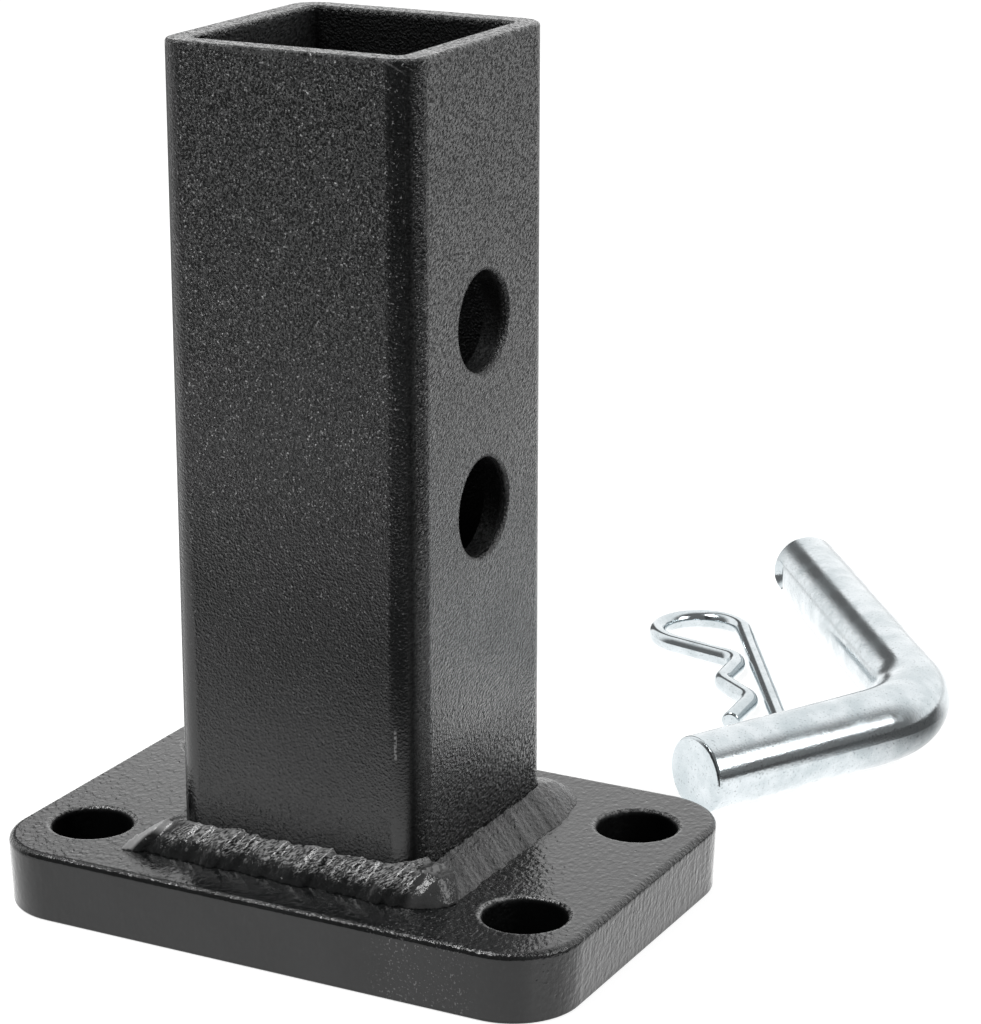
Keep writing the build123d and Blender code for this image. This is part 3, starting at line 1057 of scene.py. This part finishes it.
# %% Blend the floor's paint and its glow
floor_glow = 0.62
glow_strength = 1.3
floor_rays = add_node(floor_tree, "ShaderNodeLightPath").outputs
floor_seen = largest(
    floor_tree,
    floor_rays["Is Camera Ray"], floor_rays["Is Glossy Ray"], floor_rays["Is Transmission Ray"],
)
not_glossy = outside(floor_tree, floor_rays["Is Glossy Ray"])
brightness = add_node(floor_tree, "ShaderNodeMix", data_type="FLOAT", B=glow_strength)
feed(floor_tree, brightness.inputs["Factor"], not_glossy)
feed(floor_tree, brightness.inputs["A"], floor_mirrored)
glow = add_node(floor_tree, "ShaderNodeEmission", Color=(1, 1, 1, 1))
feed(floor_tree, glow.inputs["Strength"], brightness.outputs["Result"])
glow_share = largest(
    floor_tree, product(floor_tree, floor_seen, floor_glow), floor_rays["Is Glossy Ray"]
)
blend = add_node(floor_tree, "ShaderNodeMixShader")
feed(floor_tree, blend.inputs["Fac"], glow_share)
feed(floor_tree, blend.inputs[1], matt_floor.outputs["BSDF"])
feed(floor_tree, blend.inputs[2], glow.outputs["Emission"])
floor_surface = floor_tree.nodes["Material Output"].inputs["Surface"]
feed(floor_tree, floor_surface, blend.outputs["Shader"])
print("floor paint has", len(floor_tree.nodes), "nodes")

# %% [markdown]
# ## The room
# The world is a pale room that lights the object evenly from all round. Seen in the metal
# and the paint, it is white behind the object and dim on the side of the camera, with one
# narrow dark card to the left behind the object, which the right wall's paint mirrors.

# %% What the metal and the paint mirror of the room
away_from_camera = (-0.465, 0.885, 0)
to_the_card = (-0.743, 0.669, 0)
behind_band, behind_levels = (-0.1, 0.4), (0.2, 1.35)
card_band, card_level = (0.980, 0.994), 0.12
world = bpy.data.worlds.new("pale_room")
bpy.context.scene.world = world
world.use_nodes = True
room = world.node_tree
room_way = add_node(room, "ShaderNodeTexCoord").outputs["Generated"]
flatten = add_node(room, "ShaderNodeVectorMath", operation="MULTIPLY")
feed(room, flatten.inputs[0], room_way)
flatten.inputs[1].default_value = (1, 1, 0)
level_way = one_long(room, flatten.outputs["Vector"])
room_mirrored = product(
    room,
    ramp_node(room, along(room, room_way, away_from_camera), *behind_band, *behind_levels),
    ramp_node(room, along(room, level_way, to_the_card), *card_band, 1.0, card_level),
)
print("the room is brightest behind the object")

# %% [markdown]
# ### The room's plain light
# Rays from the camera see plain white, glossy and transmission rays see the mirrored room,
# and all other rays, the ones that light the object, get the plain level.

# %% Light of the room
room_level = 0.62
room_light = room.nodes["Background"]
room_light.inputs["Color"].default_value = (1, 1, 1, 1)
room_light.inputs["Strength"].default_value = room_level
room_rays = add_node(room, "ShaderNodeLightPath").outputs
room_brightness = add_node(room, "ShaderNodeMix", data_type="FLOAT", B=1.0)
feed(room, room_brightness.inputs["Factor"], room_rays["Is Camera Ray"])
feed(room, room_brightness.inputs["A"], room_mirrored)
room_seen = add_node(room, "ShaderNodeBackground", Color=(1, 1, 1, 1))
feed(room, room_seen.inputs["Strength"], room_brightness.outputs["Result"])
seen_share = largest(
    room,
    room_rays["Is Camera Ray"], room_rays["Is Glossy Ray"], room_rays["Is Transmission Ray"],
)
room_mix = add_node(room, "ShaderNodeMixShader")
feed(room, room_mix.inputs["Fac"], seen_share)
feed(room, room_mix.inputs[1], room_light.outputs["Background"])
feed(room, room_mix.inputs[2], room_seen.outputs["Background"])
feed(room, room.nodes["World Output"].inputs["Surface"], room_mix.outputs["Shader"])
print("room lights the object at", room_level)

# %% [markdown]
# ## Two soft lamps
# Two large square lamps give the broad highlights: one to the right and one above and in
# front. They are large and weak, so that a colour renders about as it is written.

# %% Lamps
lamp_target = (0, 0, 70 * MM)


def soft_lamp(name, place, size, watts):
    """A large square lamp at a place, turned towards the object, all in metres."""
    data = bpy.data.lights.new(name, "AREA")
    data.shape = "SQUARE"
    data.size = size
    data.energy = watts
    lamp = bpy.data.objects.new(name, data)
    bpy.context.scene.collection.objects.link(lamp)
    lamp.location = place
    way = Vector(lamp_target) - Vector(place)
    lamp.rotation_euler = way.to_track_quat("-Z", "Y").to_euler()
    print(name, "has", watts, "watts")


soft_lamp("right_softbox", (1.1, 0.1, 0.7), 0.6, 7.0)
soft_lamp("top_softbox", (-0.3, -0.5, 1.3), 0.5, 15.0)
bpy.context.scene.view_settings.view_transform = "Standard"

# %% [markdown]
# ## Sizes
# The dressed object has to stay as large as the imported one, so the growth of its box over
# the imported box is printed, in millimetres.

# %% Print how much the sizes grew
dressed_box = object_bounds()
growth = [[round((b - a) / MM, 3) for a, b in zip(*pair)] for pair in zip(cad_box, dressed_box)]
print("grown by, in mm:", growth)
